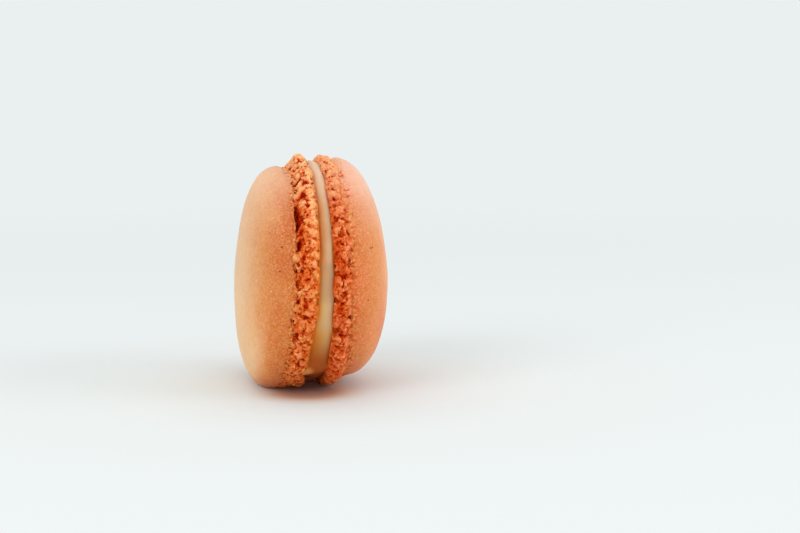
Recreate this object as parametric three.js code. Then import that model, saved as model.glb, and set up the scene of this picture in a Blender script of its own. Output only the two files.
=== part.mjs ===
// A French macaron standing on its edge: two baked almond shells, each a smooth domed cap on a ragged
// frothy foot, pressed together on a disc of cream filling. Sizes are in mm.
// +X runs along the macaron's axis from the left shell to the right one, +Z is up, and the floor is z = 0.
// An angle is measured round the axis: 0 faces -Y and 90 degrees is the top.
import * as THREE from "three";

// Where the axis lies: its height leaves the feet pressed a little flat on the floor, and its small shifts
// put the middle of the macaron's box over the origin. Then the filling.
const axisHeight = 23.2;
const axisShiftX = 0.227;
const axisShiftY = 0.137;
const fillingRadius = 22.35;
const fillingLift = 0.35;
const fillingBulge = 0.5;
const fillingTilt = 0.3;
const fillingGap = 0.3;
const fillingBlob = { angle: -53, halfSpan: 8, swell: 0.75 };

// The two shells. "face" is the flat side against the filling and "rim" is the plane where the foot meets
// the dome; each plane leans, so that the shells splay a little towards the floor.
const shells = {
  shell_left: {
    side: -1,
    faceAt: -1.82,
    faceLean: 0.029,
    facePinch: 0,
    rimAt: -6.42,
    rimLean: 0.053,
    footRadius: 23.6,
    footLift: 0.12,
    domeRadius: 22.45,
    domeLift: -1.1,
    domeHeight: 8.8,
    domePower: 3.1,
    domeSag: 0.0,
    lumpSize: 2.7,
    lumpHeight: 1.1,
    crumbSize: 1.45,
    crumbHeight: 0.55,
    lipStation: 0.34,
    seed: 11,
    colour: 0xe2a676,
    slits: [
      { angle: 36, halfSpan: 6.5, station: 0.84, depth: 1.9 },
      { angle: 21, halfSpan: 2.3, station: 0.8, depth: 1.1 },
      { angle: 3.5, halfSpan: 1.8, station: 0.93, depth: 0.9 },
      { angle: -6, halfSpan: 2, station: 0.93, depth: 0.9 },
      { angle: -26, halfSpan: 2, station: 0.93, depth: 0.9 },
      { angle: 152, halfSpan: 8, station: 0.86, depth: 1.6 },
      { angle: 236, halfSpan: 6, station: 0.84, depth: 1.5 },
    ],
  },
  shell_right: {
    side: 1,
    faceAt: 1.12,
    faceLean: 0.006,
    facePinch: 0.15,
    rimAt: 4.68,
    rimLean: -0.024,
    footRadius: 23.45,
    footLift: 0.05,
    domeRadius: 22.35,
    domeLift: 0.62,
    domeHeight: 10.2,
    domePower: 2.55,
    domeSag: 0.035,
    lumpSize: 2.3,
    lumpHeight: 0.9,
    crumbSize: 1.3,
    crumbHeight: 0.5,
    lipStation: 0.5,
    seed: 29,
    colour: 0xe0946a,
    slits: [
      { angle: 10, halfSpan: 1.1, station: 0.9, depth: 0.6 },
      { angle: -20, halfSpan: 2, station: 0.86, depth: 0.6 },
      { angle: 118, halfSpan: 5, station: 0.86, depth: 1.0 },
      { angle: 205, halfSpan: 8, station: 0.88, depth: 1.2 },
    ],
  },
};

// How finely the solids are faceted.
const footSegments = 180;
const footRows = 10;
const domeSegments = 72;
const capSegments = 36;
const fillingSegments = 96;

const radians = (degrees) => (degrees * Math.PI) / 180;
const mix = (a, b, t) => a + (b - a) * t;
const fraction = (value) => value - Math.floor(value);

function smoothStep(from, to, value) {
  const t = Math.min(1, Math.max(0, (value - from) / (to - from)));
  return t * t * (3 - 2 * t);
}

// A repeatable random number from 0 to 1 for the lattice cell (i, j, k).
function cellRandom(i, j, k, seed) {
  return fraction(Math.sin(i * 127.1 + j * 311.7 + k * 74.7 + seed * 53.3) * 43758.5453);
}

// Smooth noise from -1 to 1: random values at the lattice points, blended between them.
function softNoise(x, y, z, seed) {
  const i = Math.floor(x);
  const j = Math.floor(y);
  const k = Math.floor(z);
  const u = smoothStep(0, 1, x - i);
  const v = smoothStep(0, 1, y - j);
  const w = smoothStep(0, 1, z - k);
  let sum = 0;
  for (let corner = 0; corner < 8; corner += 1) {
    const a = corner & 1;
    const b = (corner >> 1) & 1;
    const c = (corner >> 2) & 1;
    const weight = (a ? u : 1 - u) * (b ? v : 1 - v) * (c ? w : 1 - w);
    sum += weight * cellRandom(i + a, j + b, k + c, seed);
  }
  return sum * 2 - 1;
}

// Froth: round lumps, one to a lattice cell. 1 at the middle of a lump, falling towards 0 in the creases.
function froth(x, y, z, seed) {
  const i = Math.floor(x);
  const j = Math.floor(y);
  const k = Math.floor(z);
  let nearest = 9;
  for (let a = i - 1; a <= i + 1; a += 1) {
    for (let b = j - 1; b <= j + 1; b += 1) {
      for (let c = k - 1; c <= k + 1; c += 1) {
        const dx = a + cellRandom(a, b, c, seed) - x;
        const dy = b + cellRandom(a, b, c, seed + 1) - y;
        const dz = c + cellRandom(a, b, c, seed + 2) - z;
        nearest = Math.min(nearest, dx * dx + dy * dy + dz * dz);
      }
    }
  }
  return Math.max(0, 1 - nearest);
}

// The difference between two angles in degrees, from -180 to 180.
function angleBetween(a, b) {
  return fraction((a - b) / 360 + 0.5) * 360 - 180;
}

// Where the inner face of a shell lies along the axis, at a height above the axis.
function faceX(shell, height) {
  return shell.faceAt + shell.faceLean * height - shell.side * shell.facePinch * smoothStep(6, 19, height);
}

function rimX(shell, height) {
  return shell.rimAt + shell.rimLean * height;
}

// How deep the crevices between foot and dome cut in at an angle and a station across the foot.
function slitDepth(shell, angle, station) {
  let depth = 0;
  for (const slit of shell.slits) {
    const along = angleBetween(angle, slit.angle) / slit.halfSpan;
    const across = (station - slit.station) / 0.13;
    depth += slit.depth * Math.exp(-(along ** 4) - across ** 4);
  }
  return depth;
}

// How far the ragged line between foot and dome strays along the axis.
function rimWaver(shell, angle) {
  const y = shell.domeRadius * Math.cos(radians(angle));
  const z = shell.domeRadius * Math.sin(radians(angle));
  return 0.3 * softNoise(y / 2.3, z / 2.3, 0, shell.seed + 21) + 0.16 * softNoise(y / 0.8, z / 0.8, 0, shell.seed + 22);
}

// A point of the foot: station 0 is the edge by the filling, 1 is the crease under the dome.
function footPoint(shell, angle, station) {
  const turn = radians(angle);
  const toDome = smoothStep(0.55, 1, station);
  const lift = mix(shell.footLift, shell.domeLift, toDome);
  const lip = ((station - shell.lipStation) / (1 - shell.lipStation)) ** 2;
  const inner = smoothStep(0.22, 0, station);
  const base = mix(shell.footRadius, shell.domeRadius - 0.08, toDome) - 0.35 * Math.min(1, lip) - 0.55 * inner;
  const guess = faceX(shell, base * Math.sin(turn));
  const along = mix(guess, rimX(shell, base * Math.sin(turn)), station);
  const px = along;
  const py = -base * Math.cos(turn);
  const pz = base * Math.sin(turn);
  const lumps = froth(px / shell.lumpSize, py / shell.lumpSize, pz / shell.lumpSize, shell.seed);
  const crumbs = froth(px / shell.crumbSize, py / shell.crumbSize, pz / shell.crumbSize, shell.seed + 5);
  const relief = shell.lumpHeight * (lumps - 0.72) + shell.crumbHeight * (crumbs - 0.7);
  const edge = 1 - 0.85 * smoothStep(0.75, 1, station) - 0.4 * inner;
  const radius = base + relief * edge - slitDepth(shell, angle, station);
  const height = radius * Math.sin(turn) + lift;
  const wander = 0.22 * softNoise(px / 2.1, py / 2.1, pz / 2.1, shell.seed + 9) * smoothStep(0, 0.3, station);
  const stray = wander * (1 - toDome * 0.5) + rimWaver(shell, angle) * smoothStep(0.5, 1, station);
  const x = mix(faceX(shell, height), rimX(shell, height), station) + stray;
  return [x, -radius * Math.cos(turn), height];
}

// A point of the dome: rise 0 is its rim over the foot and 90 degrees is its crown.
function domePoint(shell, angle, rise) {
  const turn = radians(angle);
  const climb = radians(rise);
  const share = Math.cos(climb);
  const py = -Math.cos(turn) * share * 3;
  const pz = Math.sin(turn) * share * 3;
  const waver = softNoise(py * 1.3, pz * 1.3, shell.side, shell.seed + 13);
  const radius = shell.domeRadius * share * (1 + 0.006 * waver);
  const height = radius * Math.sin(turn) + shell.domeLift;
  const crown = shell.domeHeight * (1 - (shell.domeSag * radius * Math.sin(turn)) / shell.domeRadius);
  const swell = 0.12 * softNoise(py, pz, 4, shell.seed + 17) * Math.sin(climb);
  const out = crown * Math.sin(climb) ** (2 / shell.domePower) + swell - 0.1 * (1 - Math.sin(climb));
  const stray = rise < 2 ? rimWaver(shell, angle) : 0;
  return [rimX(shell, height) + shell.side * out + stray, -radius * Math.cos(turn), height];
}

// The rim of the dome curls under into the crease.
function curlPoint(shell, angle) {
  const turn = radians(angle);
  const radius = shell.domeRadius - 0.2;
  const height = radius * Math.sin(turn) + shell.domeLift;
  return [rimX(shell, height) + shell.side * 0.05 + rimWaver(shell, angle), -radius * Math.cos(turn), height];
}

function facePoint(shell, angle, radius) {
  const turn = radians(angle);
  const height = radius * Math.sin(turn) + shell.footLift;
  return [faceX(shell, height), -radius * Math.cos(turn), height];
}

// A body wrapped from rings: the first and last ring are single points. Rings may differ in how many
// points they hold. Anything below the floor is pressed flat onto it.
function wrapRings(rings, flip) {
  const positions = [];
  const starts = [];
  for (const ring of rings) {
    starts.push(positions.length / 3);
    for (const [x, y, z] of ring) {
      positions.push(x + axisShiftX, y + axisShiftY, Math.max(0, z + axisHeight));
    }
  }
  const faces = [];
  const addFace = (a, b, c) => (flip ? faces.push(a, c, b) : faces.push(a, b, c));
  for (let row = 0; row + 1 < rings.length; row += 1) {
    const lower = rings[row].length;
    const upper = rings[row + 1].length;
    const first = starts[row];
    const second = starts[row + 1];
    let i = 0;
    let j = 0;
    const iEnd = lower === 1 ? 0 : lower;
    const jEnd = upper === 1 ? 0 : upper;
    while (i < iEnd || j < jEnd) {
      const stepLower = j >= jEnd || (i < iEnd && (i + 1) / lower <= (j + 1) / upper);
      if (stepLower) {
        addFace(first + (i % lower), first + ((i + 1) % lower), second + (j % upper));
        i += 1;
      } else {
        addFace(first + (i % lower), second + ((j + 1) % upper), second + (j % upper));
        j += 1;
      }
    }
  }
  const geometry = new THREE.BufferGeometry();
  geometry.setAttribute("position", new THREE.Float32BufferAttribute(positions, 3));
  geometry.setIndex(faces);
  geometry.computeVertexNormals();
  return geometry;
}

// A ring of points at even angles, from a function of the angle.
function ringOf(count, pointAt) {
  return Array.from({ length: count }, (_, index) => pointAt((index * 360) / count));
}

function shellGeometry(shell) {
  const rings = [[[faceX(shell, shell.footLift), 0, shell.footLift]]];
  rings.push(ringOf(12, (angle) => facePoint(shell, angle, 7)));
  rings.push(ringOf(capSegments, (angle) => facePoint(shell, angle, 15)));
  rings.push(ringOf(domeSegments, (angle) => facePoint(shell, angle, 20.5)));
  for (let row = 0; row <= footRows; row += 1) {
    rings.push(ringOf(footSegments, (angle) => footPoint(shell, angle, row / footRows)));
  }
  rings.push(ringOf(footSegments, (angle) => curlPoint(shell, angle)));
  rings.push(ringOf(footSegments, (angle) => domePoint(shell, angle, 0.6)));
  for (const rise of [3, 6.5, 11, 17, 25, 34, 44]) {
    rings.push(ringOf(domeSegments, (angle) => domePoint(shell, angle, rise)));
  }
  for (const rise of [55, 67]) {
    rings.push(ringOf(capSegments, (angle) => domePoint(shell, angle, rise)));
  }
  rings.push(ringOf(12, (angle) => domePoint(shell, angle, 79)));
  rings.push([domePoint(shell, 0, 90)]);
  return wrapRings(rings, shell.side > 0);
}

// A point of the filling: station 0 is its left edge and 1 its right edge, and between them it swells out.
function fillingPoint(angle, station, radius) {
  const turn = radians(angle);
  const blob = Math.exp(-((angleBetween(angle, fillingBlob.angle) / fillingBlob.halfSpan) ** 2));
  const waver = 0.12 * softNoise(Math.cos(turn) * 4, Math.sin(turn) * 4, station, 41);
  const crown = 1 - (2 * station - 1) ** 2;
  const tilt = fillingTilt * (station - 0.5);
  const swell = fillingBulge * (crown - 1) + tilt + waver + fillingBlob.swell * blob * (1.2 - station);
  const reach = radius + (radius === fillingRadius ? swell : 0);
  const height = reach * Math.sin(turn) + fillingLift;
  const left = faceX(shells.shell_left, height) + fillingGap;
  const right = faceX(shells.shell_right, height) - fillingGap;
  return [mix(left, right, station), -reach * Math.cos(turn), height];
}

function fillingGeometry() {
  const rings = [[fillingPoint(0, 0, 0)]];
  rings.push(ringOf(16, (angle) => fillingPoint(angle, 0, 9)));
  rings.push(ringOf(48, (angle) => fillingPoint(angle, 0, 17)));
  for (const station of [0, 0.1, 0.27, 0.5, 0.73, 0.9, 1]) {
    rings.push(ringOf(fillingSegments, (angle) => fillingPoint(angle, station, fillingRadius)));
  }
  rings.push(ringOf(48, (angle) => fillingPoint(angle, 1, 17)));
  rings.push(ringOf(16, (angle) => fillingPoint(angle, 1, 9)));
  rings.push([fillingPoint(0, 1, 0)]);
  return wrapRings(rings, true);
}

function addMesh(group, name, geometry, colour, roughness) {
  const material = new THREE.MeshStandardMaterial({ color: colour, roughness, metalness: 0 });
  const mesh = new THREE.Mesh(geometry, material);
  mesh.name = name;
  group.add(mesh);
}

const group = new THREE.Group();
for (const [name, shell] of Object.entries(shells)) {
  addMesh(group, name, shellGeometry(shell), shell.colour, 0.75);
}
addMesh(group, "filling", fillingGeometry(), 0xe4cfa4, 0.45);

export default group;
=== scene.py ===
"""A French macaron standing on its edge: two baked almond shells on ragged frothy feet, and a disc of cream.

The macaron's sizes are in millimetres, and turn into metres where a mesh or a material takes them. +X runs
along its axis, from the left shell to the right one, and +Z is up. An angle is in degrees round the axis: 0
faces -Y and 90 is the top. Every surface is a grid of rows along the axis and columns round it. A station
runs from 0 at a shell's face, by the cream, to 1 at its rim, under its dome.
"""

import math

import bpy
import numpy as np
from mathutils import Matrix, Vector


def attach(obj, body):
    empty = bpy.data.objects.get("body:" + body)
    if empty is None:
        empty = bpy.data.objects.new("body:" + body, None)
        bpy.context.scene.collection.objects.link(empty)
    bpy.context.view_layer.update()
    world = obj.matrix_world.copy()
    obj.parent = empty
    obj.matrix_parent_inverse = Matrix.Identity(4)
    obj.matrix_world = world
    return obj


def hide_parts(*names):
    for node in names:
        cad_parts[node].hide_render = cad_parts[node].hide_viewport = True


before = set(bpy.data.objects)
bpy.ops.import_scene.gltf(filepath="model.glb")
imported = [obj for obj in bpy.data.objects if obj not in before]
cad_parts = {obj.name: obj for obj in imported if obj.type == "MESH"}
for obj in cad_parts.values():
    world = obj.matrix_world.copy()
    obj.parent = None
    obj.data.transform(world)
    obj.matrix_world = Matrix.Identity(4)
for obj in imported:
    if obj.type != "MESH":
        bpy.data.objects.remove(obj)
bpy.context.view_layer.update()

# ---- sizes of the macaron, in mm

AXIS_PLACE = np.array([0.227, 0.137, 23.2])
FILLING_RADIUS = 22.35
FILLING_LIFT = 0.35
FILLING_BULGE = 0.5
FILLING_TILT = 0.3
FILLING_OVERLAP = 0.1
BLOB = {"angle": -54.5, "half_span": 7, "swell": 1.2, "spill": 0.7}

# The sizes of the left shell and of the right one. The face and the rim lie so many mm along the axis, and
# lean with height. A pinch narrows the cream high up and a notch widens it low down. A lift is how far the
# middle of a ring is over the axis. The shades, contrasts and tone say how pale the foot's froth is.
# Pinholes are (angle, rise, radius), and slits, the crevices by the dome, (angle, half span, station, depth).
# Dents, the foot's larger lumps and hollows, are (angle, station, height).
SHELL_SIZES = {
    "node": ("shell_left", "shell_right"),
    "side": (-1, 1),
    "seed": (11, 29),
    "face_at": (-1.82, 1.12),
    "face_lean": (0.029, 0.006),
    "face_pinch": (0.0, 0.15),
    "face_notch": (0.85, 0.0),
    "rim_at": (-6.42, 4.68),
    "rim_lean": (0.053, -0.024),
    "foot_radius": (23.6, 23.45),
    "foot_lift": (0.12, 0.05),
    "early_fall": (0.16, 0.0),
    "lip_station": (0.34, 0.5),
    "dome_radius": (22.45, 22.35),
    "dome_lift": (-1.1, 0.62),
    "dome_height": (8.8, 10.2),
    "dome_power": (3.1, 2.55),
    "dome_sag": (0.0, 0.035),
    "lump_size": (2.7, 2.3),
    "lump_height": (1.1, 0.9),
    "crumb_size": (1.45, 1.3),
    "crumb_height": (0.55, 0.5),
    "crust": (0.8, 0.45),
    "rim_share": (0.75, 0.6),
    "rim_reach": (0.7, 1.2),
    "creep": (1.0, 1.1),
    "seam_swell": (0.3, 0.46),
    "pit_share": (0.6, 0.15),
    "pit_reach": (0.8, 0.2),
    "lip_shade": (0.17, -0.12),
    # The lip shadow is painted shade where the foot meets the cream.
    "lip_shadow": (-0.26, -0.1),
    "edge_shade": (-0.03, 0.07),
    "contrast": (1.0, 1.16),
    "top_contrast": (0.85, -0.35),
    # The top tone is painted light from above.
    "painted_top_light_tone": (0.0, 0.15),
    "pinholes": (
        [(22, 9, 0.28), (10, 11, 0.26), (31, 22, 0.2)],
        [(16.5, 19, 0.26), (17, 21.5, 0.26), (-10.5, 13, 0.24)],
    ),
    "slits": (
        [
            (36, 6.5, 0.84, 1.9), (21, 2.3, 0.8, 1.1), (3.5, 1.8, 0.93, 0.7), (-6, 2, 0.93, 0.6),
            (-26, 2, 0.93, 0.6), (152, 8, 0.86, 1.6), (236, 6, 0.84, 1.5),
        ],
        [(10, 1.1, 0.9, 0.6), (-20, 2, 0.86, 0.6), (118, 5, 0.86, 1.0), (205, 8, 0.88, 1.2)],
    ),
    "dents": (
        [
            (61, 0.76, -0.6), (54, 0.4, -0.65), (48, 0.76, -0.85), (43, 0.97, -0.7), (36, 1.0, 0.35),
            (27, 0.76, -0.4), (16, 1.0, 0.5), (13, 0.64, -0.4), (2, 0.56, -0.5), (-2, 0.72, 0.35),
            (-8, 1.0, 0.45), (-10, 0.56, -0.4), (-22, 0.6, -0.35),
        ],
        [
            (46, 0.24, 0.35), (40, 0.68, -0.35), (32, 0.32, 0.35), (25, 0.28, 0.85), (21, 0.6, -0.3),
            (19, 1.0, 0.3), (15, 0.6, 0.3), (13, 0.2, -0.3), (4, 0.58, -0.45), (-1, 0.32, 0.3),
            (-12, 0.4, -0.5), (-20, 0.84, 0.3), (-25, 0.1, -0.35), (-27, 0.68, -0.35),
        ],
    ),
}


def by_side(pairs):
    """The left side's values and the right side's, from a table of pairs."""
    return {
        "left": {key: pair[0] for key, pair in pairs.items()},
        "right": {key: pair[1] for key, pair in pairs.items()},
    }


SHELLS = by_side(SHELL_SIZES)

# The froth's relief. A slit's width is in stations, and a pore's or crater's size is that of its cell.
SLIT_WIDTH = 0.13
DENT_REACH = 0.75
CRUST_LIFT = 0.12
HOLE_DEPTH = 0.5
CRACK_DEPTH = 0.2
KNOB_HEIGHT = 0.1
GRIT_HEIGHT = 0.05
PORE_SIZE = 0.9
CRATER_SIZE = 2.6
CRATER_SHARE = 0.85
PIT_STRETCH = np.array([0.9, 1.6, 1.6])
PIT_DEPTH = 2.28
SLIT_TEAR = 1.5
CRUMB_SLANT = 0.4

# The foot's outline, and the thin edge that creeps up the dome.
LIP_FALL = 0.35
FACE_FALL = 0.55
FOOT_WANDER = 0.22
CREEP_SINK = 0.42
CREEP_LEAN = 0.15

# The dome's outline and relief.
OUTLINE_WAVER = 0.006
SKIN_SWELL = 0.12
RIM_TUCK = 0.1
SHOULDER_HEIGHT = 0.4
CRUMBLY_WIDTH = 4.0
FRILL_SHARE = 0.6
BUMP_SIZE = 2.4
BUMP_SHARE = 0.3
WAVER_REACH = 1.2

# Rings that no one sees: their radii, insets, shares of the way out to the lip and drops under the dome, and
# how much of the froth's relief they show.
CREAM_INNER_RADII = (8.0, 17.0)
DOME_UNDER_RINGS = ((9.0, 0.5), (17.0, 0.5), (20.6, 0.45))
FOOT_HOLE_RADIUS = 18.5
FOOT_INNER_SHARES = (0.0, 0.6, 0.78, 0.88, 0.95)
FOOT_INNER_SHOWN = (0, 0.3, 1, 1, 1)
CREEP_DROPS = np.array([0.9, 1.8, 3.2])
CREEP_DROPS_SHOWN = (0.2, 0, 0)

# How finely the pieces are gridded.
FOOT_COLUMNS = 1400
FOOT_ROWS = 46
CREEP_ROWS = 14
DOME_COLUMNS = 980
DOME_ROWS = 95
DOME_ROW_CROWDING = 1.5
CREAM_COLUMNS = 540
CREAM_ROWS = 30


# ---- noise

HASH_WEIGHTS = (127.1, 311.7, 74.7, 53.3)
HASH_GAIN = 43758.5453


def cubic(t):
    return t * t * (3.0 - 2.0 * t)


def quintic(t):
    return t * t * t * (t * (t * 6.0 - 15.0) + 10.0)


def smooth_step(low, high, value):
    """0 below low, 1 above high, and a smooth cubic between; high may be the smaller one."""
    return cubic(np.clip((value - low) / (high - low), 0.0, 1.0))


def mix(a, b, t):
    return a + (b - a) * t


def cell_random(cell, seed):
    """A repeatable random number from 0 to 1 for each lattice cell: the end digits of a large sine."""
    a, b, c, d = HASH_WEIGHTS
    value = np.sin(cell[..., 0] * a + cell[..., 1] * b + cell[..., 2] * c + seed * d) * HASH_GAIN
    return value - np.floor(value)


def corners_around(points, ease):
    """The 8 lattice corners round each point: each with the way from it, and its weight by this easing."""
    base = np.floor(points)
    part = points - base
    eased = ease(part)
    for corner in range(8):
        step = np.array([corner & 1, (corner >> 1) & 1, (corner >> 2) & 1], float)
        yield base + step, part - step, np.prod(np.where(step > 0, eased, 1.0 - eased), axis=-1)


def soft_noise(points, seed):
    """Smooth noise from -1 to 1: random values at the lattice points, blended between them."""
    total = 0.0
    for cell, _, weight in corners_around(points, cubic):
        total = total + weight * cell_random(cell, seed)
    return total * 2.0 - 1.0


def gradient_noise(points, seed):
    """Smooth noise from about -1 to 1, 0 at every lattice point: random slopes, blended between them."""
    total = 0.0
    for cell, away, weight in corners_around(points, quintic):
        slope = 0.0
        for axis in range(3):
            lean = cell_random(cell, seed + 0.37 * axis) * 2.0 - 1.0
            slope = slope + lean * away[..., axis]
        total = total + weight * slope
    return total * 1.6


def spread(rows, down, around):
    """The average over a window of this many rows and columns either way; columns close on themselves."""
    padded = np.pad(rows, ((down + 1, down), (0, 0)), mode="edge")
    total = np.cumsum(padded, axis=0)
    rows = (total[2 * down + 1:] - total[: -2 * down - 1]) / (2 * down + 1)
    padded = np.pad(rows, ((0, 0), (around + 1, around)), mode="wrap")
    total = np.cumsum(padded, axis=1)
    return (total[:, 2 * around + 1:] - total[:, : -2 * around - 1]) / (2 * around + 1)


def spots_around(points, seed):
    """The 27 lattice cells in and around each point's own, and how far their random spots are, squared."""
    base = np.floor(points)
    for number in range(27):
        cell = base + np.array([number // 9 - 1, number // 3 % 3 - 1, number % 3 - 1])
        squared = 0.0
        for axis in range(3):
            away = cell[..., axis] + cell_random(cell, seed + axis) - points[..., axis]
            squared = squared + away * away
        yield cell, squared


def froth(points, seed):
    """Round lumps, one to a cell: 1 at the middle of a lump, falling towards 0 in the creases."""
    nearest = 1.0
    for _, squared in spots_around(points, seed):
        nearest = np.minimum(nearest, squared)
    return 1.0 - nearest


def burst_bubbles(points, seed, share, small, large):
    """Round hollows left by burst bubbles: the depth of the ball that a point lies in, in cells.

    Only a share of the cells holds a bubble, and its radius lies between small and large.
    """
    depth = 0.0
    for cell, squared in spots_around(points, seed):
        radius = mix(small, large, cell_random(cell, seed + 3))
        present = cell_random(cell, seed + 4) < share
        ball = np.sqrt(np.maximum(0.0, radius * radius - squared)) * present
        depth = np.maximum(depth, ball)
    return depth


def wandering(points, seed):
    """The points pushed about by two sizes of noise, so that patterns on them lose their regular cells."""
    broad = np.stack([gradient_noise(points / 1.4, seed + n) for n in range(3)], axis=-1)
    fine = np.stack([gradient_noise(points / 0.55, seed + 5 + n) for n in range(3)], axis=-1)
    return points + 0.45 * broad + 0.16 * fine


# ---- the macaron's surfaces, in mm

def angle_between(a, b):
    """The difference between two angles, from -180 to 180."""
    turns = (a - b) / 360.0 + 0.5
    return (turns - np.floor(turns)) * 360.0 - 180.0


def face_x(shell, height):
    """Where a shell's face lies along the axis: a leaning plane, pinched high up and notched low down."""
    pinch = shell["face_pinch"] * smooth_step(6, 19, height)
    notch = shell["face_notch"] * smooth_step(-5, -13, height) * smooth_step(-22, -19.5, height)
    return shell["face_at"] + shell["face_lean"] * height - shell["side"] * (pinch - notch)


def rim_x(shell, height):
    return shell["rim_at"] + shell["rim_lean"] * height


def foot_width(shell):
    return abs(shell["rim_at"] - shell["face_at"])


def ring_point(x, radius, turn, height):
    return np.stack([x, -radius * np.cos(turn), height], axis=-1)


def crumb_lift(points, spot, seed, calm=1.0):
    """How far baked froth stands out, in mm: a knobbly, gritty crust, less hollows, cracks and round pores.

    A hollow or crack opens where noise passes a threshold, and broad sheets are flatter. Calm scales all but
    the pores, so that a flat crust keeps its pin-holes.
    """
    torn = gradient_noise(spot / 1.35, seed + 50) + 0.4 * gradient_noise(spot / 0.65, seed + 53)
    cracks = gradient_noise(spot / 0.62, seed + 56) + 0.3 * gradient_noise(spot / 0.33, seed + 57)
    holes = HOLE_DEPTH * smooth_step(0.08, 0.5, torn) + CRACK_DEPTH * smooth_step(0.12, 0.5, cracks)
    knobs = KNOB_HEIGHT * gradient_noise(spot / 0.8, seed + 58)
    grit = GRIT_HEIGHT * gradient_noise(points / 0.33, seed + 60)
    sheets = smooth_step(-0.15, 0.45, gradient_noise(points / 2.9, seed + 48))
    pores = PORE_SIZE * burst_bubbles(spot / PORE_SIZE, seed + 63, 0.62, 0.18, 0.35)
    return (CRUST_LIFT - holes + knobs + grit) * (1 - 0.3 * sheets) * calm - pores


def seam_pits(shell, spot, past_rim):
    """How deep the chain of tall pits along the rim cuts in, in mm; past_rim is negative on the foot."""
    pits = burst_bubbles(spot / PIT_STRETCH, shell["seed"] + 80, shell["pit_share"], 0.2, 0.4)
    far_end = smooth_step(shell["pit_reach"], shell["pit_reach"] - 0.5, past_rim)
    return PIT_DEPTH * pits * smooth_step(-1.3, -0.6, past_rim) * far_end


def slit_depth(shell, angle, station):
    """How deep the crevices between foot and dome cut in: a sum of flat-topped bells."""
    depth = np.zeros(np.broadcast(angle, station).shape)
    for at_angle, half_span, at_station, deep in shell["slits"]:
        along = angle_between(angle, at_angle) / half_span
        across = (station - at_station) / SLIT_WIDTH
        depth = depth + deep * np.exp(-(along**4) - across**4)
    return depth


def dent_lift(shell, angle, past_rim):
    """How far the larger lumps stand out and the larger hollows sink in, in mm: a sum of round bells."""
    lift = np.zeros(np.broadcast(angle, past_rim).shape)
    for at_angle, at_station, height in shell["dents"]:
        along = np.radians(angle_between(angle, at_angle)) * shell["foot_radius"]
        across = past_rim + (1 - at_station) * foot_width(shell)
        lift = lift + height * np.exp(-(along**2 + across**2) / DENT_REACH**2)
    return lift


def rim_waver(shell, turn):
    """How far the ragged line between foot and dome strays along the axis: three sizes of noise on a ring."""
    ring = shell["dome_radius"] * np.stack([np.cos(turn), np.sin(turn), np.zeros_like(turn)], axis=-1)
    waver = 0.0
    for number, (size, reach) in enumerate(((2.3, 0.3), (0.8, 0.16), (0.35, 0.07))):
        waver = waver + reach * soft_noise(ring / size, shell["seed"] + 21 + number)
    return waver


def foot_surface(shell, angle, station):
    """The foot's outside: a rounded band whose radius is lifted by froth and cut by the crevices.

    From half way to the rim it eases from the foot's radius to the dome's, earlier at the top. It also falls
    as a parabola either side of the lip station, and steeply by the face. The froth is two sizes of round
    lumps. The band wanders along the axis with noise, and its far edge follows the rim's waver.
    """
    turn = np.radians(angle)
    early = shell["early_fall"] * smooth_step(0.6, 0.95, np.sin(turn))
    to_dome = smooth_step(0.55 - early, 1.0 - early, station)
    lift = mix(shell["foot_lift"], shell["dome_lift"], to_dome)
    off_lip = ((station - shell["lip_station"]) / (1 - shell["lip_station"])) ** 2
    by_face = smooth_step(0.22, 0.0, station)
    base = mix(shell["foot_radius"], shell["dome_radius"] - 0.08, to_dome)
    base = base - LIP_FALL * np.minimum(1.0, off_lip) - FACE_FALL * by_face
    flat_height = base * np.sin(turn)
    along = mix(face_x(shell, flat_height), rim_x(shell, flat_height), station)
    spot = ring_point(along, base, turn, flat_height)
    lumps = froth(spot / shell["lump_size"], shell["seed"])
    crumbs = froth(spot / shell["crumb_size"], shell["seed"] + 5)
    relief = shell["lump_height"] * (lumps - 0.72) + shell["crumb_height"] * (crumbs - 0.7)
    shown = 1 - 0.85 * smooth_step(0.75, 1.0, station) - 0.4 * by_face
    tear = SLIT_TEAR * gradient_noise(spot / 0.8, shell["seed"] + 7)
    radius = base + relief * shown - slit_depth(shell, angle + tear, station + 0.03 * tear)
    height = radius * np.sin(turn) + lift
    wander = FOOT_WANDER * soft_noise(spot / 2.1, shell["seed"] + 9) * smooth_step(0.0, 0.3, station)
    x = mix(face_x(shell, height), rim_x(shell, height), station) + wander * (1 - to_dome * 0.5)
    x = x + rim_waver(shell, turn) * smooth_step(0.5, 1.0, station)
    return ring_point(x, radius, turn, height), relief


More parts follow.
